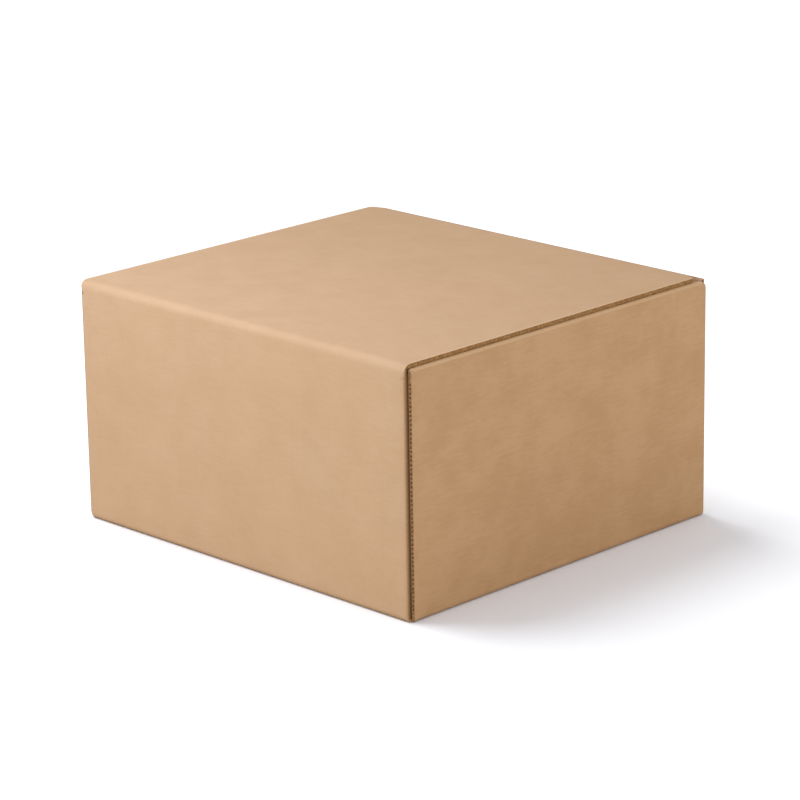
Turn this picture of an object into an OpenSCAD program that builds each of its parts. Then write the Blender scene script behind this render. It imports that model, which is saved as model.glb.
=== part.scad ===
// Corrugated mailer box, closed: roll-over side walls, lid hinged on the back wall, tuck front.
// Millimetres, +Z up. Origin on the ground at the middle of the footprint.
// The lid's fold and the back wall face -Y, the tuck flap is at +Y.

/* [Box] */
// Outside width across the two side walls
box_w = 342; // [220:1:480]
// Outside depth from the back wall to the front wall
box_d = 316; // [220:1:480]
// Outside height to the top of the closed lid
box_h = 185; // [100:1:260]

/* [Board] */
// Thickness of the corrugated board
board_t = 3; // [2.6:0.1:3.6]
// Inside radius of the folds round the base and the corners
fold_in_r = 1; // [0.5:0.1:2]
// Inside radius of the two creases along the top of a side wall
ridge_in_r = 0.4; // [0.2:0.1:0.8]
// Rounding at both ends of a side wall's top
ridge_end_r = 3; // [1:0.5:5]
// Air left between two layers of board that lie on each other
slip = 0.3; // [0.2:0.05:0.5]

/* [Corner flaps] */
// Length of a corner flap, from the face of its wall
flap_len = 95; // [50:1:105]
// Corner cut on the free end of a corner flap
flap_cut = 12; // [4:1:20]

/* [Side wall tabs] */
// Width of a locking tab on the foot of an inner side panel
tab_w = 40; // [20:1:44]
// Distance between the centres of the two tabs
tab_span = 150; // [80:1:160]

/* [Lid] */
// Inside radius of the soft fold between the back wall and the lid
lid_in_r = 4; // [1:0.5:6]
// Inside radius of the fold between the lid and the tuck flap
tuck_in_r = 2; // [1:0.5:5]
// Rounding of the lid's corners beside the tuck flap
lid_corner_r = 6; // [1:0.5:6.5]
// Height of the tuck flap, from the top of the lid
tuck_h = 42; // [30:1:60]
// Rounding of the tuck flap's lower corners
tuck_corner_r = 12; // [4:1:15]
// Air between each end of the tuck flap and the side wall
tuck_side_gap = 1.5; // [0.8:0.1:3]

/* [Cut edges] */
// Length of one full wave of the fluting
flute_pitch = 6.35; // [5.6:0.05:7.2]
// Liner left on each face beside a flute cell
liner_t = 0.5; // [0.3:0.05:0.7]
// Fluting between two cells, along the cut edge
web_w = 1.2; // [0.9:0.05:1.6]
// How much wider a cell is at its liner than at its crest
web_slant = 0.7; // [0.2:0.05:0.8]
// Depth that the flute cells are open from a cut edge
cell_depth = 2.5; // [1:0.1:4]
// Crushed fluting between a fold and the first cell
crush = 2; // [1:0.1:6]

/* [Hidden] */
$fn = 48;
fold_r = fold_in_r + board_t;
ridge_r = ridge_in_r + board_t;
lid_r = lid_in_r + board_t;
tuck_r = tuck_in_r + board_t;
// The corner flap lies between the outer and the inner side panel
wall_w = 3 * board_t + 2 * slip;
panel_w = box_w - 2 * (board_t + slip);
ridge_z = box_h - board_t - slip;
// The side walls stand clear of the lid's soft fold
side_len = box_d - 2 * (lid_r + slip);
flap_lo = fold_r + slip;
flap_hi = ridge_z - board_t - slip;
half_pitch = flute_pitch / 2;
// The lid turns on the outer liner, half way round its fold
hinge_deg = 135;
// The tuck flap stands back by as much as its edge swings out while the lid turns
lid_reach = box_d - 3 * lid_r;
tuck_swing = norm([lid_reach, tuck_h]) - lid_reach;
lid_d = box_d - board_t - slip - tuck_swing;
tuck_w = box_w - 2 * (wall_w + tuck_side_gap);
// Overrun of a cut past the face it opens
cut = slip;

// What a fold takes off a corner that lies at the origin
module corner_cut(r) {
    difference() {
        translate([-cut, -cut])
            square(r + cut);
        translate([r, r])
            circle(r = r);
    }
}

// Rectangle with its lower left, lower right, upper right and upper left corners rounded
module rounded(w, h, radii) {
    difference() {
        square([w, h]);
        if (radii[0] > 0)
            corner_cut(radii[0]);
        if (radii[1] > 0)
            translate([w, 0])
                mirror([1, 0])
                    corner_cut(radii[1]);
        if (radii[2] > 0)
            translate([w, h])
                rotate(180)
                    corner_cut(radii[2]);
        if (radii[3] > 0)
            translate([0, h])
                mirror([0, 1])
                    corner_cut(radii[3]);
    }
}

// Sheet bent round the inside of a rectangle, open where a radius is zero
module bent_sheet(w, h, inner_radii) {
    difference() {
        rounded(w, h, [for (r = inner_radii) r > 0 ? r + board_t : 0]);
        translate([board_t, board_t])
            rounded(w - 2 * board_t, h - 2 * board_t, inner_radii);
    }
}

// Extrudes a section drawn in Y and Z along the width of the box
module along_x(length) {
    rotate([90, 0, 90])
        linear_extrude(length, center = true)
            children();
}

// Extrudes a section drawn in X and Z along the depth of the box
module along_y(length) {
    rotate([90, 0, 0])
        linear_extrude(length, center = true)
            children();
}

// Copies the right-hand half of the box to the left
module both_sides() {
    for (x = [0, 1])
        mirror([x, 0, 0])
            children();
}

// Copies the back half of the box to the front
module both_ends() {
    for (y = [0, 1])
        mirror([0, y, 0])
            children();
}

// One cell between the fluting and a liner, as the knife leaves it
module flute_cell(side) {
    high = side * (board_t / 2 - liner_t);
    wide = (half_pitch - web_w + web_slant) / 2;
    narrow = (half_pitch - web_w - web_slant) / 2;
    translate([0, board_t / 2])
        polygon([[-wide, high], [wide, high], [narrow, -high], [-narrow, -high]]);
}

// A row of cells centred on a cut edge along X, open towards -Z
module flute_cells(run) {
    count = floor(run / half_pitch);
    for (i = [0 : count - 1])
        translate([(i - (count - 1) / 2) * half_pitch, 0, -cut])
            linear_extrude(cell_depth + cut)
                flute_cell(i % 2 == 0 ? 1 : -1);
}

// The split across the lid's fold, from the centre of the fold outwards
module fold_split(toward_lid) {
    translate([lid_r, box_h - lid_r])
        rotate(hinge_deg)
            translate([-lid_r, toward_lid ? -2 * lid_r + slip / 2 : -slip / 2])
                square([3 * lid_r, 2 * lid_r]);
}

// Back wall, base and front wall in section, up to the split in the lid's fold
module strip_section() {
    difference() {
        bent_sheet(box_d, box_h, [fold_in_r, fold_in_r, 0, lid_in_r]);
        translate([lid_r, ridge_z])
            square([box_d, box_h]);
        fold_split(true);
    }
}

// Outline of the strip from above, notched where the side walls join the base
module strip_plan() {
    difference() {
        rounded(panel_w, box_d, [fold_r, fold_r, fold_r, fold_r]);
        for (x = [-cut, panel_w - fold_r + board_t])
            translate([x, fold_r])
                square([fold_r - board_t + cut, box_d - 2 * fold_r]);
    }
}

module strip() {
    intersection() {
        translate([0, -box_d / 2, 0])
            along_x(panel_w)
                strip_section();
        translate([-panel_w / 2, -box_d / 2, 0])
            linear_extrude(box_h)
                strip_plan();
    }
}

// Foot, outer panel, roll-over ridge and inner panel of a side wall, in section
module side_section() {
    difference() {
        bent_sheet(wall_w, ridge_z, [0, fold_in_r, ridge_in_r, ridge_in_r]);
        translate([-cut, board_t])
            square([board_t + 2 * cut, slip]);
    }
}

module side_wall() {
    edge_lo = fold_r + crush;
    edge_hi = ridge_z - ridge_r - ridge_end_r;
    difference() {
        translate([box_w / 2 - wall_w, 0, 0])
            along_y(side_len)
                side_section();
        both_ends() {
            translate([box_w / 2 - board_t, -side_len / 2, (edge_lo + edge_hi) / 2])
                rotate([0, -90, -90])
                    flute_cells(edge_hi - edge_lo);
            translate([box_w / 2, -side_len / 2, ridge_z])
                along_x(3 * wall_w)
                    mirror([0, 1])
                        corner_cut(ridge_end_r);
        }
    }
}

// Places its children at the two tabs of an inner side panel
module at_tabs() {
    for (y = [-1, 1])
        translate([box_w / 2 - wall_w + board_t / 2, y * tab_span / 2, 0])
            children();
}

module tab_slot() {
    translate([0, 0, board_t / 2])
        cube([board_t + 2 * slip, tab_w + 2 * slip, board_t + slip], center = true);
}

module tab() {
    translate([-board_t / 2, -tab_w / 2, slip])
        cube([board_t, tab_w, 2 * board_t]);
}

// Wall and its two corner flaps from above, bent round the corners
module flaps_plan() {
    difference() {
        bent_sheet(panel_w, 2 * flap_len, [fold_in_r, fold_in_r, 0, 0]);
        translate([-cut, flap_len])
            square([panel_w + 2 * cut, 2 * flap_len]);
    }
}

// What is cut off a corner flap in side view, to fit under the ridge
module flap_trim(top) {
    translate([fold_r, flap_hi])
        square([flap_len, top]);
    polygon([
        [flap_len - flap_cut, flap_lo - cut],
        [flap_len - flap_cut, flap_lo],
        [flap_len, flap_lo + flap_cut],
        [flap_len + cut, flap_lo + flap_cut],
        [flap_len + cut, flap_lo - cut]
    ]);
    polygon([
        [flap_len - flap_cut, flap_hi + cut],
        [flap_len - flap_cut, flap_hi],
        [flap_len, flap_hi - flap_cut],
        [flap_len + cut, flap_hi - flap_cut],
        [flap_len + cut, flap_hi + cut]
    ]);
}

module corner_flaps(top) {
    translate([0, -box_d / 2, 0])
        difference() {
            translate([-panel_w / 2, 0, flap_lo])
                linear_extrude(top - flap_lo)
                    flaps_plan();
            along_x(panel_w + 2 * cut)
                flap_trim(top);
        }
}

module tray() {
    color("burlywood") {
        difference() {
            union() {
                strip();
                both_sides()
                    side_wall();
                corner_flaps(box_h - lid_r);
                mirror([0, 1, 0])
                    corner_flaps(ridge_z);
            }
            both_sides()
                at_tabs()
                    tab_slot();
            translate([0, box_d / 2, ridge_z])
                rotate([180, 0, 0])
                    flute_cells(panel_w - 2 * fold_r - 2 * crush);
        }
        both_sides()
            at_tabs()
                tab();
    }
}

// Lid, its half of the back fold, the front fold and the tuck flap, in section
module lid_section() {
    difference() {
        bent_sheet(lid_d, box_h, [0, 0, tuck_in_r, lid_in_r]);
        translate([-cut, -cut])
            square([lid_d + 2 * cut, box_h - tuck_h + cut]);
        translate([-cut, -cut])
            square([2 * board_t, box_h - lid_r + cut]);
        fold_split(false);
    }
}

// Outline of the lid from above, with the fold and flap standing forward of its shoulders
module lid_plan() {
    rounded(panel_w, lid_d - tuck_r, [fold_r, fold_r, lid_corner_r, lid_corner_r]);
    translate([(panel_w - tuck_w) / 2, fold_r])
        square([tuck_w, lid_d]);
}

// Outline of the lid from the front, with the tuck flap's lower corners rounded
module lid_front() {
    translate([(panel_w - tuck_w) / 2, 0])
        rounded(tuck_w, box_h, [tuck_corner_r, tuck_corner_r, 0, 0]);
    translate([0, tuck_h - board_t])
        square([panel_w, box_h]);
}

module lid() {
    color("tan")
        translate([0, -box_d / 2, 0])
            difference() {
                intersection() {
                    along_x(panel_w)
                        lid_section();
                    translate([-panel_w / 2, 0, 0])
                        linear_extrude(box_h + cut)
                            lid_plan();
                    translate([-panel_w / 2, 0, box_h - tuck_h])
                        along_y(3 * box_d)
                            lid_front();
                }
                translate([0, lid_d - board_t, box_h - tuck_h])
                    flute_cells(tuck_w - 2 * tuck_corner_r);
            }
}

tray();
lid();
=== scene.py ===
# Closed corrugated mailer box on a white studio floor, seen from its rear right corner.
# The CAD model gives the folded sheet. This script adds what is finer than that: the soft
# crease over the lid's fold, the tight corners of the back and front walls and the ends of
# the outer side panels. It also makes the kraft board, the floor, the light and the camera.
# Lengths are metres.
import math
from functools import partial
import bmesh
import bpy
from mathutils import Vector, Matrix


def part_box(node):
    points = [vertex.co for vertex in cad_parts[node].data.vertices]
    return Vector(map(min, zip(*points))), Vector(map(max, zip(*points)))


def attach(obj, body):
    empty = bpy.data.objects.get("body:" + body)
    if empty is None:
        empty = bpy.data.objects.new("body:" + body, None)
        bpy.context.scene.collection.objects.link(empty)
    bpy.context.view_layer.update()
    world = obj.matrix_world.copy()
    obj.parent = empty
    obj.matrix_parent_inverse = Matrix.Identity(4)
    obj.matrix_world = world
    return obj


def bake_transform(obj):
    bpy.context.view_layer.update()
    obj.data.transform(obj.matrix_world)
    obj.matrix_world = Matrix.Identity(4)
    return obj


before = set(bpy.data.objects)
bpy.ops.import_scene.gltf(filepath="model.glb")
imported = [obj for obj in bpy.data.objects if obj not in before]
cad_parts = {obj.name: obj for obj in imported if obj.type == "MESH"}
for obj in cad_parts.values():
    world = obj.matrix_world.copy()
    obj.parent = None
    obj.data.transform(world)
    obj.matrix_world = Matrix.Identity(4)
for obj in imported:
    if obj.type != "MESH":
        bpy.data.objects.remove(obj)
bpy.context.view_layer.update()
bpy.ops.object.select_all(action="DESELECT")
print("frame loaded:", sorted(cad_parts))

mm = 0.001
touch = 1e-6                     # tolerance for points that are picked by their place
skin = 0.05 * mm                 # tolerance of a colour mask beside a cut

# sizes of the folded board, as the CAD model has them, and two of the longer side panels
board = {
    "thickness": 3.0 * mm,
    "foldRadius": 4.0 * mm,      # outside of the folds at the base and the corners
    "lidFoldRadius": 7.0 * mm,   # outside of the soft fold between back wall and lid
    "tuckFoldRadius": 5.0 * mm,  # outside of the fold between lid and tuck flap
    "slip": 0.3 * mm,            # air between two layers
    "flutePitch": 6.35 * mm,     # one full wave of the fluting
    "liner": 0.35 * mm,          # liner paper at a cut edge, drawn a little thick to show
    "cellDepth": 2.5 * mm,       # open depth of a flute cell
    "panelReach": 3.6 * mm,      # how far the outer side panels run on past the CAD's
    "panelRounding": 5.5 * mm,   # their cut upper corner beside the front wall
}
lidLow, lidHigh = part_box("lid")
trayLow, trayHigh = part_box("tray")
backFace, frontFace = trayLow.y, trayHigh.y
sideFace = trayHigh.x
lidTop = lidHigh.z
lidEdge = lidHigh.x                                        # the lid's cut side edge
ridgeTop = lidTop - board["thickness"] - board["slip"]     # top of the side and front walls
wallEnd = frontFace - board["lidFoldRadius"] - board["slip"]  # where the CAD's side walls end
panelEnd = wallEnd + board["panelReach"]                   # cut ends of their outer panels


def linear(hexColour):
    channels = [int(hexColour[i:i + 2], 16) / 255 for i in (1, 3, 5)]
    return tuple(c / 12.92 if c <= 0.04045 else ((c + 0.055) / 1.055) ** 2.4
                 for c in channels) + (1.0,)


def addNode(tree, kind, *values, inputs=None, **settings):
    # values fill the sockets in order, inputs the ones that it names
    node = tree.nodes.new("ShaderNode" + kind)
    for name, value in settings.items():
        setattr(node, name, value)
    for socket, value in {**dict(enumerate(values)), **(inputs or {})}.items():
        if isinstance(value, bpy.types.Node):
            value = value.outputs[0]
        if isinstance(value, bpy.types.NodeSocket):
            tree.links.new(value, node.inputs[socket])
        else:
            node.inputs[socket].default_value = value
    return node


def newMaterial(name):
    material = bpy.data.materials.new(name)
    material.use_nodes = True
    material.node_tree.nodes.clear()
    return material, material.node_tree


# Unbleached kraft liner over fluting: a dry, matt brown paper. The eye gets a soft cloudy
# tone, faint streaks that are level on the walls, a hint of the flutes under the liner,
# paler paper where a crease has stretched it, darker brown cut edges, a painted highlight
# beside the lid's cut and along the side walls' tops, and painted shade in the flute cells
# and in the slots beside the wall corners.
kraft = {
    "paper": "#cfae8e",
    "paperDark": "#c7a583",
    "paperPale": "#d8b899",
    "paperWarm": "#d3a883",
    "fibreBundle": "#a98457",
    # also the colour of the painted highlight beside the lid's cut and along the side walls' tops
    "crease": "#e6c8a8",
    "cutDark": "#8a6743",
    "cutPale": "#b48f64",
    # painted shade in the mouths of the flute cells
    "paintedCellShade": "#7d5733",
    "paintedSlotShade": "#5e4025",      # painted shade in the slot beside a wall's corner
    "cloud": 30 * mm,            # size of the cloudy patches
    "warmPatch": 75 * mm,        # and of the warmer ones
    "streakLength": 11 * mm,
    "streakWidth": 1.3 * mm,     # real fibres are thinner; drawn as coarse as they show
    "bundle": 1.6 * mm,
    "cloudShare": 0.6,
    "streakShare": 0.4,
    "fluteShare": 0.010,
    "contrast": 1.2,             # of the clouds and streaks
    "sideContrast": 2.5,         # the side panels show them more
    "plainShare": 0.45,          # plain paper over the clouds and streaks
    "warmShare": 0.10,
    "bundleShare": 0.35,
    "creaseShare": 0.06,
    "lidEdgePaleAndHighlight": 0.45,              # paler, lifted paper beside the lid's knife cut, partly a painted highlight
    "lidEdgePaleAndHighlightWidth": 3.5 * mm,
    "ridgePaleAndHighlight": 0.6,             # and along the top of a side wall, partly a painted highlight
    "ridgePaleAndHighlightAcross": (4.0 * mm, 2.5 * mm),  # from none to full, in from the side's face
    "ridgePaleAndHighlightDown": (2.4 * mm, 1.4 * mm),    # and down from the ridge
    "tornScale": 700.0,          # torn fibres of about 1.4 mm
    "endCutWidth": 10.0 * mm,    # raw board at a side panel's end, in from the side's face
    "topCutShare": 0.4,          # the front wall's top edge shows less raw board
    "paintedCellShadeShare": 0.20,
    "fluteHeight": 0.003 * mm,   # how far the liner sinks between two flutes
    "fibreHeight": 0.010 * mm,
    "cloudHeight": 0.05 * mm,
    "groove": 0.12 * mm,         # crease line pressed under the top of a side wall
    "grooveDrop": 4.6 * mm,      # from the top of the wall to that line
    "grooveWidth": 0.9 * mm,
    "grooveReach": 0.5 * mm,     # only this near the side's face
    "roughness": 0.86,
    "roughnessSpread": 0.06,
}

# painted shade in the open slot between a wall's corner and the side panel's cut end
slot = {
    "width": 2.0 * mm,
    "start": 1.0 * mm,           # behind the panel's cut end
    "fadeInset": 0.4 * mm,       # the fade starts and ends this far inside the slot
    "strength": 0.9,
    "foot": 3.0 * mm,            # fades out over this height at the base
}


def kraftBoard(name, isLid):
    material, tree = newMaterial(name)
    node = partial(addNode, tree)
    smooth = {"interpolation_type": "SMOOTHSTEP"}

    def inRange(value, low, high):
        return node("Math", value, (low + high) / 2, (high - low) / 2, operation="COMPARE")

    def every(*tests):
        found = tests[0]
        for test in tests[1:]:
            found = node("Math", found, test, operation="MULTIPLY")
        return found

    place = node("TexCoord")
    point = place.outputs["Object"]
    x, y, z = node("SeparateXYZ", point).outputs
    absX = node("Math", x, operation="ABSOLUTE")
    absY = node("Math", y, operation="ABSOLUTE")
    normX, normY, normZ = [node("Math", axis, operation="ABSOLUTE")
                           for axis in node("SeparateXYZ", place.outputs["Normal"]).outputs]
    onSide = node("Math", normX, 0.6, operation="GREATER_THAN")     # faces that look sideways

    # the flutes run from the front over base and lid to the back, and level on the side panels
    across = node("Mix", inputs={0: onSide, 2: x, 3: z})
    turns = node("Math", across, 2 * math.pi / board["flutePitch"], operation="MULTIPLY")
    flutes = node("Math", turns, operation="SINE")

    # the streaks run level round the walls and across the lid
    long, short = 1 / kraft["streakLength"], 1 / kraft["streakWidth"]
    stretch = node("Mix", inputs={0: onSide, 4: (long, short, short), 5: (short, long, short)},
                   data_type="VECTOR").outputs[1]
    stretched = node("VectorMath", point, stretch, operation="MULTIPLY")
    streaks = node("TexNoise", inputs={"Vector": stretched, "Scale": 1.0, "Detail": 4.0, "Roughness": 0.55})
    clouds = node("TexNoise", inputs={"Vector": point, "Scale": 1 / kraft["cloud"], "Detail": 5.0,
                                      "Roughness": 0.6})
    warmth = node("TexNoise", inputs={"Vector": point, "Scale": 1 / kraft["warmPatch"], "Detail": 2.0})
    fineFibres = node("TexNoise", inputs={"Vector": point, "Scale": 1 / kraft["bundle"], "Detail": 3.0,
                                          "Roughness": 0.7})

    tone = node("Math", clouds, kraft["cloudShare"], operation="MULTIPLY")
    tone = node("Math", streaks, kraft["streakShare"], tone, operation="MULTIPLY_ADD")
    contrast = node("Mix", inputs={0: onSide, 2: kraft["contrast"], 3: kraft["sideContrast"]})
    fromMiddle = node("Math", tone, 0.5, operation="SUBTRACT")
    tone = node("Math", fromMiddle, contrast, 0.5, operation="MULTIPLY_ADD")
    tone = node("Math", flutes, kraft["fluteShare"], tone, operation="MULTIPLY_ADD")
    depth = node("MapRange", tone, 0.28, 0.72, 0.0, 1.0)
    warmShift = node("MapRange", warmth, 0.35, 0.65, 0.0, kraft["warmShare"])
    specks = node("MapRange", fineFibres, 0.66, 0.76, 0.0, kraft["bundleShare"])

    # a crease shows where the surface is turning between two panels
    steepest = node("Math", normX, normY, operation="MAXIMUM")
    steepest = node("Math", steepest, normZ, operation="MAXIMUM")
    onCrease = node("MapRange", steepest, 0.985, 0.80, 0.0, kraft["creaseShare"], **smooth)
    # paler paper with a painted highlight beside the lid's cut and along the tops of the side walls
    if isLid:
        rubAndHighlight = node("MapRange", absX, lidEdge - kraft["lidEdgePaleAndHighlightWidth"], lidEdge, 0.0, kraft["lidEdgePaleAndHighlight"],
                      **smooth)
    else:
        farIn, nearIn = kraft["ridgePaleAndHighlightAcross"]
        farDown, nearDown = kraft["ridgePaleAndHighlightDown"]
        rubAndHighlight = every(node("MapRange", absX, sideFace - farIn, sideFace - nearIn, 0.0, 1.0, **smooth),
                       node("MapRange", z, ridgeTop - farDown, ridgeTop - nearDown, 0.0,
                            kraft["ridgePaleAndHighlight"], **smooth))
    pale = node("Math", onCrease, rubAndHighlight, operation="MAXIMUM")

    # cut edges are raw board, and the mouths of the flute cells get painted shade
    torn = node("TexNoise", inputs={"Vector": point, "Scale": kraft["tornScale"], "Detail": 3.0})
    rawTone = node("MapRange", torn, 0.3, 0.7, 0.0, 1.0, **smooth)
    rawColour = node("Mix", inputs={0: rawTone, 6: linear(kraft["cutDark"]), 7: linear(kraft["cutPale"])},
                     data_type="RGBA").outputs[2]
    middle = board["thickness"] / 2
    mouth = middle - board["liner"]
    cellStart, cellEnd = 2 * skin, board["cellDepth"] + 2 * skin   # measured in from the cut
    if isLid:
        sideCut = node("Math", normX, 0.2, operation="GREATER_THAN")
        shoulderCut = every(node("Math", normZ, 0.35, operation="LESS_THAN"),
                            inRange(z, lidTop - board["thickness"] - skin, lidTop),
                            inRange(y, backFace + board["lidFoldRadius"] + 2 * skin,
                                    lidHigh.y - board["tuckFoldRadius"] + 2 * skin))
        footCut = inRange(z, lidLow.z - skin, lidLow.z + skin)
        raw = node("Math", sideCut, shoulderCut, operation="MAXIMUM")
        raw = node("Math", raw, footCut, operation="MAXIMUM")
        inFlute = every(inRange(y, lidHigh.y - middle - mouth, lidHigh.y - middle + mouth),
                        inRange(z, lidLow.z + cellStart, lidLow.z + cellEnd))
    else:
        innerFace = sideFace - board["thickness"] - 2 * skin       # just inside the outer panel
        rounding = board["panelRounding"] + 2 * skin
        endCut = every(inRange(absY, panelEnd - skin, panelEnd + skin),
                       node("Math", absX, sideFace - kraft["endCutWidth"], operation="GREATER_THAN"))
        cornerCut = every(node("Math", absX, innerFace, operation="GREATER_THAN"),
                          node("Math", absY, panelEnd - rounding, operation="GREATER_THAN"),
                          node("Math", absY, panelEnd + skin, operation="LESS_THAN"),
                          node("Math", z, ridgeTop - rounding, operation="GREATER_THAN"),
                          node("Math", normX, 0.5, operation="LESS_THAN"),
                          node("Math", normY, 0.15, operation="GREATER_THAN"))
        frontInner = frontFace - board["thickness"] - 2 * skin
        topCut = every(inRange(z, ridgeTop - skin, ridgeTop + skin),
                       node("Math", y, frontInner, operation="GREATER_THAN"), kraft["topCutShare"])
        raw = node("Math", endCut, cornerCut, operation="MAXIMUM")
        raw = node("Math", raw, topCut, operation="MAXIMUM")
        endFlute = every(inRange(absX, sideFace - middle - mouth, sideFace - middle + mouth),
                         inRange(absY, panelEnd - cellEnd, panelEnd - cellStart))
        topFlute = every(inRange(y, frontFace - middle - mouth, frontFace - middle + mouth),
                         inRange(z, ridgeTop - cellEnd, ridgeTop - cellStart))
        inFlute = node("Math", endFlute, topFlute, operation="MAXIMUM")
        # painted shade in the slot beside a wall's corner, darkest at the panel's cut end
        paintedSlotShadeMask = every(inRange(absX, innerFace - slot["width"], innerFace),
                       node("Math", absY, panelEnd - slot["start"], operation="GREATER_THAN"),
                       node("MapRange", absY, frontFace - slot["fadeInset"], panelEnd + slot["fadeInset"],
                            0.0, slot["strength"], **smooth),
                       node("MapRange", normX, 0.10, 0.60, 0.0, 1.0, **smooth),
                       node("MapRange", z, 0.0, slot["foot"], 0.0, 1.0, **smooth))

    layers = [(depth, linear(kraft["paperPale"])), (kraft["plainShare"], linear(kraft["paper"])),
              (warmShift, linear(kraft["paperWarm"])), (specks, linear(kraft["fibreBundle"])),
              (pale, linear(kraft["crease"])), (raw, rawColour)]
    if not isLid:
        layers.append((paintedSlotShadeMask, linear(kraft["paintedSlotShade"])))
    # painted shade in the mouths of the flute cells
    layers.append((every(inFlute, kraft["paintedCellShadeShare"]), linear(kraft["paintedCellShade"])))
    colour = linear(kraft["paperDark"])
    for share, layer in layers:
        colour = node("Mix", inputs={0: share, 6: colour, 7: layer}, data_type="RGBA").outputs[2]

    height = node("Math", flutes, kraft["fluteHeight"], operation="MULTIPLY")
    for pattern, relief in ((fineFibres, "fibreHeight"), (clouds, "cloudHeight"), (streaks, "fibreHeight")):
        height = node("Math", pattern, kraft[relief], height, operation="MULTIPLY_ADD")
    if not isLid:
        away = node("Math", z, ridgeTop - kraft["grooveDrop"], operation="SUBTRACT")
        away = node("Math", away, kraft["grooveWidth"], operation="DIVIDE")
        dent = node("Math", every(away, away, -1.0), operation="EXPONENT")
        onPanel = node("Math", absX, sideFace - kraft["grooveReach"], operation="GREATER_THAN")
        height = node("Math", height, every(dent, onPanel, kraft["groove"]), operation="SUBTRACT")
    bump = node("Bump", inputs={"Strength": 1.0, "Distance": 1.0, "Height": height})
    rough = node("MapRange", fineFibres, 0.3, 0.7, kraft["roughness"] - kraft["roughnessSpread"],
                 kraft["roughness"] + kraft["roughnessSpread"])
    shader = node("BsdfPrincipled", inputs={"Base Color": colour, "Roughness": rough, "IOR": 1.5,
                                            "Specular IOR Level": 0.3, "Normal": bump})
    node("OutputMaterial", shader)
    return material


trayBoard = kraftBoard("kraft_liner_board_tray", False)
lidBoard = kraftBoard("kraft_liner_board_lid", True)
for nodeName, material in (("tray", trayBoard), ("lid", lidBoard)):
    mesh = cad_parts[nodeName].data
    mesh.materials.clear()
    mesh.materials.append(material)
print("kraft board on tray and lid")


def selectVerts(mesh, test):
    bm = bmesh.from_edit_mesh(mesh)
    bpy.ops.mesh.select_all(action="DESELECT")
    bm.select_mode = {"VERT"}
    for vert in bm.verts:
        vert.select = test(vert.co)
    bm.select_flush_mode()
    bmesh.update_edit_mesh(mesh)


def extrudeBy(*step):
    bpy.ops.mesh.extrude_region_move(TRANSFORM_OT_translate={"value": step})


def drop(radius, into):
    # how far a rounded corner has turned in, at a point that lies into past its start
    into = max(0.0, into)
    return radius - math.sqrt(max(0.0, radius * radius - into * into))


# The outer liner runs on over the lid's fold, from the back wall to the lid. The flutes are
# crushed under it, so its roundness wanders a little along the box.
crease = {
    "radius": 6.4 * mm,          # a little tighter than the board's own fold, so it stands proud
    "sink": 0.03 * mm,           # the liner starts this far inside the flat panels
    "tongue": 2.0 * mm,          # flat run on each panel beside the fold
    "steps": 14,
    "cuts": 120,                 # cross cuts, so that the lumps have points to move
    "lumpSpacing": 22 * mm,
    "lumpHeight": 0.4 * mm,
    "thickness": 0.8 * mm,
    "endGap": 0.1 * mm,
    "straight": 150 * mm,        # from the middle to where the ends start to draw in
}

# The back and front walls turn a tighter corner than the board inside them, and the ends of
# the crease follow it.
cornerLiner = {
    "radius": 1.3 * mm,
    "sideGap": 1.0 * mm,         # from the corner to the inside of the side panel
    "sink": 0.05 * mm,
    "tongue": 4.0 * mm,          # flat run on the wall beside the corner
    "turn": 0.8 * mm,            # run round the corner, until it meets the board
    "steps": 8,
    "bendSteps": 6,              # rows of points where the wall bends into the base
    "thickness": 1.0 * mm,
    "foot": 0.5 * mm,            # height of its lower end
    "backGap": 1.5 * mm,         # under the lid's fold
    "frontGap": 0.02 * mm,       # under the front wall's cut edge
}


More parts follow.
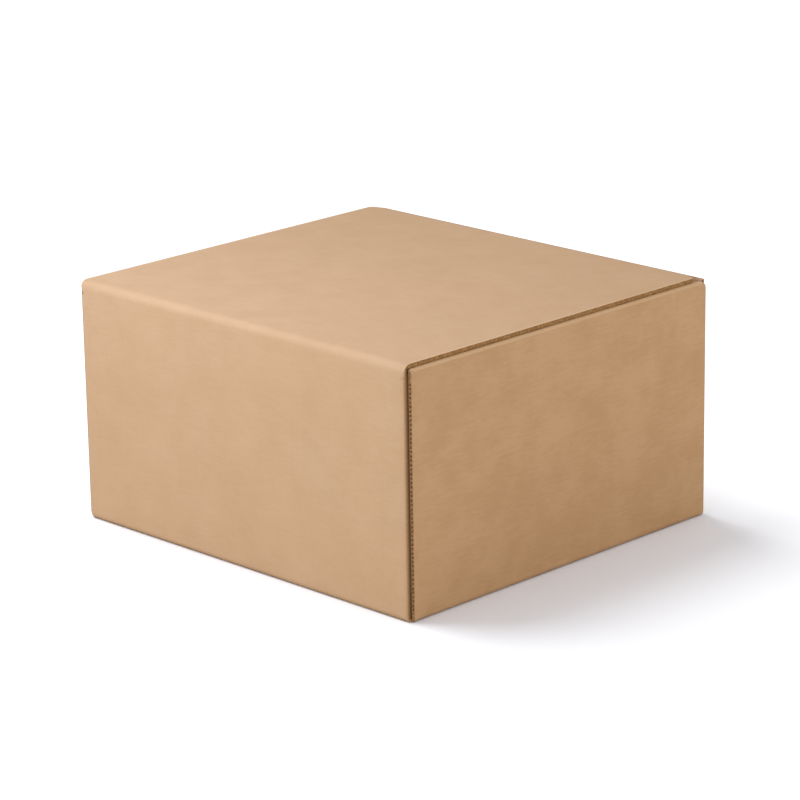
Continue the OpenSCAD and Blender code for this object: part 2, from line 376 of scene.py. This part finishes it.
def backCrease():
    r = crease["radius"]
    length = 2 * (lidEdge - crease["endGap"])
    centre = Vector((0, backFace + crease["sink"] + r, lidTop - crease["sink"] - r))
    bpy.ops.mesh.primitive_cylinder_add(vertices=4 * crease["steps"], radius=r, depth=length,
                                        end_fill_type="NOTHING", location=centre,
                                        rotation=(0, math.pi / 2, 0))
    piece = bpy.context.object
    piece.name = "back_crease"
    bpy.ops.object.transform_apply(location=True, rotation=True, scale=True)
    bpy.ops.object.mode_set(mode="EDIT")
    bpy.context.tool_settings.mesh_select_mode = (True, False, False)
    # keep only the quarter that faces up and back
    selectVerts(piece.data, lambda p: p.y > centre.y + touch or p.z < centre.z - touch)
    bpy.ops.mesh.delete(type="VERT")
    # a flat tongue down the wall and one along the lid
    selectVerts(piece.data, lambda p: p.z < centre.z + touch)
    extrudeBy(0, 0, -crease["tongue"])
    selectVerts(piece.data, lambda p: p.y > centre.y - touch)
    extrudeBy(0, crease["tongue"], 0)
    bm = bmesh.from_edit_mesh(piece.data)
    for edge in bm.edges:
        edge.select = abs(edge.verts[0].co.x - edge.verts[1].co.x) > length / 2
    bmesh.update_edit_mesh(piece.data)
    bpy.ops.mesh.subdivide(number_cuts=crease["cuts"])
    bpy.ops.mesh.select_all(action="SELECT")
    bpy.ops.mesh.normals_make_consistent(inside=False)
    bpy.ops.object.mode_set(mode="OBJECT")

    # lumps, strongest half way round the fold
    lumps = piece.vertex_groups.new(name="lumps")
    for vert in piece.data.vertices:
        turn = math.atan2(vert.co.z - centre.z, centre.y - vert.co.y)
        weight = max(0.0, math.sin(2 * turn)) if 0 <= turn <= math.pi / 2 else 0.0
        lumps.add([vert.index], weight, "REPLACE")
    pattern = bpy.data.textures.new("crushedFlutes", "CLOUDS")
    pattern.noise_scale = crease["lumpSpacing"]
    pattern.noise_depth = 2
    push = piece.modifiers.new("lumps", "DISPLACE")
    push.texture = pattern
    push.texture_coords = "LOCAL"
    push.strength = crease["lumpHeight"]
    push.mid_level = 0.5
    push.vertex_group = "lumps"
    wall = piece.modifiers.new("paper", "SOLIDIFY")
    wall.thickness = crease["thickness"]
    wall.offset = -1
    for modifier in ("lumps", "paper"):
        bpy.ops.object.modifier_apply(modifier=modifier)
    # its ends follow the rounded corners of the back wall
    corner = cornerLiner["radius"]
    straight = crease["straight"]
    for vert in piece.data.vertices:
        along = abs(vert.co.x)
        bend = max(0.0, (along - straight) / (length / 2 - straight))
        drawnIn = drop(corner, backFace + corner - vert.co.y)
        vert.co.x = math.copysign(along - bend * drawnIn, vert.co.x)
    bpy.ops.object.shade_smooth_by_angle(angle=math.radians(40))
    piece.data.materials.append(trayBoard)
    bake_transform(piece)
    bpy.ops.object.select_all(action="DESELECT")


backCrease()
print("crease over the lid's fold")


def finishBoardPiece(piece, name):
    piece.name = name
    bpy.ops.object.shade_smooth_by_angle(angle=math.radians(35))
    piece.data.materials.clear()
    piece.data.materials.append(trayBoard)
    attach(piece, "tray")
    bpy.ops.object.select_all(action="DESELECT")


def mirrorTo(piece, sideSign, endSign):
    # the piece is made at the front right corner
    for vert in piece.data.vertices:
        vert.co.x *= sideSign
        vert.co.y *= endSign
    bpy.ops.object.mode_set(mode="EDIT")
    bpy.ops.mesh.select_all(action="SELECT")
    bpy.ops.mesh.normals_make_consistent(inside=False)
    bpy.ops.object.mode_set(mode="OBJECT")


def cutAcross(place, direction):
    bpy.ops.mesh.select_all(action="SELECT")
    bpy.ops.mesh.bisect(plane_co=place, plane_no=direction)


def wallCorner(name, sideSign, endSign):
    r = cornerLiner["radius"]
    low = cornerLiner["foot"]
    if endSign > 0:
        high = ridgeTop - cornerLiner["frontGap"]
    else:
        high = trayHigh.z - board["lidFoldRadius"] - cornerLiner["backGap"]
    side = lidEdge + board["slip"] - cornerLiner["sideGap"]
    centre = Vector((side - r, frontFace - cornerLiner["sink"] - r, (low + high) / 2))
    bpy.ops.mesh.primitive_cylinder_add(vertices=4 * cornerLiner["steps"], radius=r, depth=high - low,
                                        end_fill_type="NOTHING", location=centre)
    piece = bpy.context.object
    bpy.ops.object.transform_apply(location=True)
    bpy.ops.object.mode_set(mode="EDIT")
    bpy.context.tool_settings.mesh_select_mode = (True, False, False)
    # keep only the quarter that faces out of the corner
    selectVerts(piece.data, lambda p: p.x < centre.x - touch or p.y < centre.y - touch)
    bpy.ops.mesh.delete(type="VERT")
    selectVerts(piece.data, lambda p: p.x < centre.x + touch)
    extrudeBy(-cornerLiner["tongue"], 0, 0)
    selectVerts(piece.data, lambda p: p.y < centre.y + touch)
    extrudeBy(0, -cornerLiner["turn"], 0)
    fold = board["foldRadius"]
    for row in range(1, cornerLiner["bendSteps"] + 1):
        turn = row / cornerLiner["bendSteps"] * math.pi / 2
        cutAcross((0, 0, fold * (1 - math.cos(turn))), (0, 0, 1))
    bpy.ops.object.mode_set(mode="OBJECT")
    for vert in piece.data.vertices:
        vert.co.y -= drop(fold, fold - vert.co.z)
    wall = piece.modifiers.new("paper", "SOLIDIFY")
    wall.thickness = cornerLiner["thickness"]
    wall.offset = -1
    mirrorTo(piece, sideSign, endSign)
    bpy.ops.object.modifier_apply(modifier="paper")
    finishBoardPiece(piece, name)


# The outer side panels run on past the CAD's side walls, to just short of the corners. They
# are cut there, so the flute cells show as a row of dark mouths.
panelEdge = {
    "overlap": 3.7 * mm,         # length inside the side wall
    "sink": 0.3 * mm,            # depth under the liner at that end
    "ridgeRadius": 3.3 * mm,
    "baseRadius": 3.9 * mm,
    "edgeSteps": 8,
    "backRounding": 1.2 * mm,    # the cut corner at the top, beside the lid's fold
    "roundingSteps": 10,
    "firstCell": 6.0 * mm,       # the waves of cells start at this height
    "lastCell": 175.0 * mm,      # and as many follow as fit below this one
    "cellReach": 1.0 * mm,       # depth of the cells inside the side wall
    "liner": 0.6 * mm,
    "web": 1.4 * mm,             # fluting between two cells
    "slant": 0.7 * mm,           # how far each side of a cell leans over
    "spare": 3.0 * mm,           # length cut off again at the end
    "margin": 5.0 * mm,          # how far the cutting block stands out round the panel
    "clearance": 0.01 * mm,      # and above it, where its corner is rounded
}


def blockBetween(low, high):
    low, high = Vector(low), Vector(high)
    bpy.ops.mesh.primitive_cube_add(size=1, location=(low + high) / 2, scale=high - low)
    bpy.ops.object.transform_apply(location=True, scale=True)
    return bpy.context.object


def bevelEdges(piece, test, radius, segments):
    bpy.ops.object.mode_set(mode="EDIT")
    bpy.context.tool_settings.mesh_select_mode = (False, True, False)
    bpy.ops.mesh.select_all(action="DESELECT")
    bm = bmesh.from_edit_mesh(piece.data)
    for edge in bm.edges:
        edge.select = test((edge.verts[0].co + edge.verts[1].co) / 2)
    bmesh.update_edit_mesh(piece.data)
    bpy.ops.mesh.bevel(offset=radius, segments=segments, affect="EDGES")
    bpy.ops.object.mode_set(mode="OBJECT")


def fluteCutters(start, end):
    # two cells, one on each side of the wave, repeated up the panel
    middle = sideFace - board["thickness"] / 2
    reach = board["thickness"] / 2 - panelEdge["liner"]
    halfWave = board["flutePitch"] / 2
    wide = (halfWave - panelEdge["web"] + panelEdge["slant"]) / 2
    narrow = wide - panelEdge["slant"]
    cells = []
    for number, wideSide in ((1, 1), (2, -1)):
        z = panelEdge["firstCell"] + halfWave * number
        cell = blockBetween((middle - reach, start, z - wide), (middle + reach, end, z + wide))
        for vert in cell.data.vertices:
            if (vert.co.x - middle) * wideSide < 0:
                vert.co.z = z + math.copysign(narrow, vert.co.z - z)
        cells.append(cell)
    for cell in cells:
        cell.select_set(True)
    bpy.ops.object.join()
    cutter = bpy.context.object
    row = cutter.modifiers.new("row", "ARRAY")
    row.use_relative_offset = False
    row.use_constant_offset = True
    row.constant_offset_displace = (0, 0, board["flutePitch"])
    row.count = int((panelEdge["lastCell"] - panelEdge["firstCell"]) / board["flutePitch"])
    bpy.ops.object.modifier_apply(modifier="row")
    return cutter


def cutWith(piece, cutter, operation):
    cut = piece.modifiers.new("cut", "BOOLEAN")
    cut.operation = operation
    cut.object = cutter
    bpy.ops.object.select_all(action="DESELECT")
    bpy.context.view_layer.objects.active = piece
    piece.select_set(True)
    bpy.ops.object.modifier_apply(modifier="cut")
    bpy.data.objects.remove(cutter)


def sidePanelEnd(name, sideSign, endSign):
    start, past = wallEnd - panelEdge["overlap"], panelEnd + panelEdge["spare"]
    inner = sideFace - board["thickness"]
    steps, margin = panelEdge["edgeSteps"], panelEdge["margin"]
    piece = blockBetween((inner, start, 0), (sideFace, past, ridgeTop))
    bevelEdges(piece, lambda p: p.x > sideFace - touch and p.z > ridgeTop - touch,
               panelEdge["ridgeRadius"], steps)
    bevelEdges(piece, lambda p: p.x > sideFace - touch and p.z < touch, panelEdge["baseRadius"], steps)
    bpy.ops.object.mode_set(mode="EDIT")
    cutAcross((0, wallEnd, 0), (0, 1, 0))
    bpy.ops.object.mode_set(mode="OBJECT")
    # inside the side wall it lies under the liner
    for vert in piece.data.vertices:
        if vert.co.y < start + touch:
            vert.co.x -= panelEdge["sink"]
            vert.co.z += math.copysign(panelEdge["sink"], ridgeTop / 2 - vert.co.z)
    rounding = board["panelRounding"] if endSign > 0 else panelEdge["backRounding"]
    end = blockBetween((inner - margin, 0, -margin),
                       (sideFace + margin, panelEnd, ridgeTop + panelEdge["clearance"]))
    bevelEdges(end, lambda p: p.y > panelEnd - touch and p.z > ridgeTop, rounding,
               panelEdge["roundingSteps"])
    cutWith(piece, end, "INTERSECT")
    cutWith(piece, fluteCutters(wallEnd - panelEdge["cellReach"], past), "DIFFERENCE")
    mirrorTo(piece, sideSign, endSign)
    finishBoardPiece(piece, name)


for sideName, sideSign in (("right", 1), ("left", -1)):
    for endName, endSign in (("back", -1), ("front", 1)):
        wallCorner(f"{endName}_{sideName}_corner", sideSign, endSign)
        sidePanelEnd(f"{sideName}_panel_{endName}_end", sideSign, endSign)
print("wall corners and side panel ends")


def seenRays(tree):
    # 1 for rays from the camera, from a reflection or through glass, and 0 for the rest
    rays = addNode(tree, "LightPath")
    seen = rays.outputs["Is Camera Ray"]
    for ray in ("Is Glossy Ray", "Is Transmission Ray"):
        seen = addNode(tree, "Math", seen, rays.outputs[ray], operation="MAXIMUM")
    return seen


# A sheet of white paper. The camera sees it brighter than it lights the box, so that it stays
# white round the object and still keeps the shadow. The seen colour takes the warmth of the
# room and of the sun out of that shadow.
floor = {
    "colour": "#e4e6ec",
    "seenColour": (1.15, 1.285, 1.66, 1.0),
    "size": 16.0,
    "drop": 0.1 * mm,            # below the box, so that the two don't share a face
}


def studioFloor():
    bpy.ops.mesh.primitive_plane_add(size=floor["size"], location=(0, 0, -floor["drop"]))
    plane = bpy.context.object
    plane.name = "floor"
    bpy.ops.object.transform_apply(location=True)
    material, tree = newMaterial("white_paper_floor")
    paper = addNode(tree, "BsdfDiffuse", linear(floor["colour"]))
    seenPaper = addNode(tree, "BsdfDiffuse", floor["seenColour"])
    both = addNode(tree, "MixShader", seenRays(tree), paper, seenPaper)
    addNode(tree, "OutputMaterial", both)
    plane.data.materials.append(material)


studioFloor()
print("floor")

# One large soft box up on the camera's left, a little cool, in a warm white room, with a weak
# warm fill on the right. The two lamps leave the floor out, so their tints don't show there. A
# soft sun that only the floor receives keeps it white and gives the box its shadow.
light = {
    "keyPlace": (-0.20, -0.58, 0.79),
    "keySize": 0.50,
    "keyPower": 4.75,
    "keyColour": (0.92, 0.97, 1.14),
    "keyAim": 0.6,               # of the box's height
    "fillPlace": (1.5, 0.0, 0.12),
    "fillSize": 1.0,
    "fillPower": 2.8,
    "fillColour": (1.05, 0.58, 0.20),
    "room": 0.56,
    "roomColour": (1.03, 0.95, 0.78, 1.0),
    "sunDirection": (-0.98, -0.20),
    "sunHeight": 53.0,           # degrees above the floor
    "sunAngle": 44.0,            # how wide it looks, which softens the shadow
    "sunStrength": 1.85,
    "sunColour": (1.05, 0.95, 0.76),
}


def lightFloor(lamp, state):
    # INCLUDE lights the floor alone, EXCLUDE lights all but the floor
    receivers = bpy.data.collections.new(lamp.name + "Receivers")
    receivers.objects.link(bpy.data.objects["floor"])
    receivers.collection_objects[0].light_linking.link_state = state
    lamp.light_linking.receiver_collection = receivers


def placeLamp(data, place, aim, floorState):
    lamp = bpy.data.objects.new(data.name, data)
    bpy.context.scene.collection.objects.link(lamp)
    lamp.location = place
    lamp.rotation_euler = (Vector(aim) - Vector(place)).to_track_quat("-Z", "Y").to_euler()
    lightFloor(lamp, floorState)


def softBox(name, place, aim, size, power, colour):
    data = bpy.data.lights.new(name, "AREA")
    data.shape = "SQUARE"
    data.size = size
    data.energy = power
    data.color = colour
    placeLamp(data, place, aim, "EXCLUDE")


def floorSun():
    data = bpy.data.lights.new("floorSun", "SUN")
    data.energy = light["sunStrength"]
    data.color = light["sunColour"]
    data.angle = math.radians(light["sunAngle"])
    rise = math.radians(light["sunHeight"])
    sideX, sideY = light["sunDirection"]
    toSun = (sideX * math.cos(rise), sideY * math.cos(rise), math.sin(rise))
    placeLamp(data, toSun, (0, 0, 0), "INCLUDE")


def whiteRoom():
    world = bpy.data.worlds.new("whiteRoom")
    world.use_nodes = True
    bpy.context.scene.world = world
    tree = world.node_tree
    tree.nodes.clear()
    seen = seenRays(tree)
    strength = addNode(tree, "MapRange", seen, 0.0, 1.0, light["room"], 1.0)
    tint = addNode(tree, "Mix", inputs={0: seen, 6: light["roomColour"], 7: (1, 1, 1, 1)},
                   data_type="RGBA").outputs[2]
    room = addNode(tree, "Background", tint, strength)
    addNode(tree, "OutputWorld", room)


softBox("keySoftBox", light["keyPlace"], (0, 0, lidTop * light["keyAim"]), light["keySize"],
        light["keyPower"], light["keyColour"])
softBox("warmFill", light["fillPlace"], (sideFace, 0, lidTop / 2), light["fillSize"],
        light["fillPower"], light["fillColour"])
floorSun()
whiteRoom()
print("light")

# Where the photograph was taken from, worked out from the box's edges in it. The shifts say
# how far right of the picture's middle, and how far above it, the middle of the base stands.
camera = {
    "azimuth": 44.92,
    "elevation": 16.99,
    "roll": -0.92,
    "distance": 2.5874,
    "shiftRight": -2.9 * mm,
    "shiftUp": -86.6 * mm,
    "lens": 154.8,
}


def photoCamera():
    turn, rise, roll = (math.radians(camera[k]) for k in ("azimuth", "elevation", "roll"))
    forward = Vector((-math.sin(turn) * math.cos(rise), math.cos(turn) * math.cos(rise), -math.sin(rise)))
    level = forward.cross(Vector((0, 0, 1))).normalized()
    upright = level.cross(forward)
    right = level * math.cos(roll) + upright * math.sin(roll)
    up = upright * math.cos(roll) - level * math.sin(roll)
    data = bpy.data.cameras.new("photoCamera")
    data.lens = camera["lens"]
    data.sensor_width = 36.0
    data.clip_end = 100
    eye = bpy.data.objects.new("photoCamera", data)
    bpy.context.scene.collection.objects.link(eye)
    place = -forward * camera["distance"] - right * camera["shiftRight"] - up * camera["shiftUp"]
    eye.matrix_world = Matrix.Translation(place) @ Matrix((right, up, -forward)).transposed().to_4x4()
    bpy.context.scene.camera = eye


photoCamera()
bpy.context.scene.view_settings.view_transform = "Standard"
print("camera")
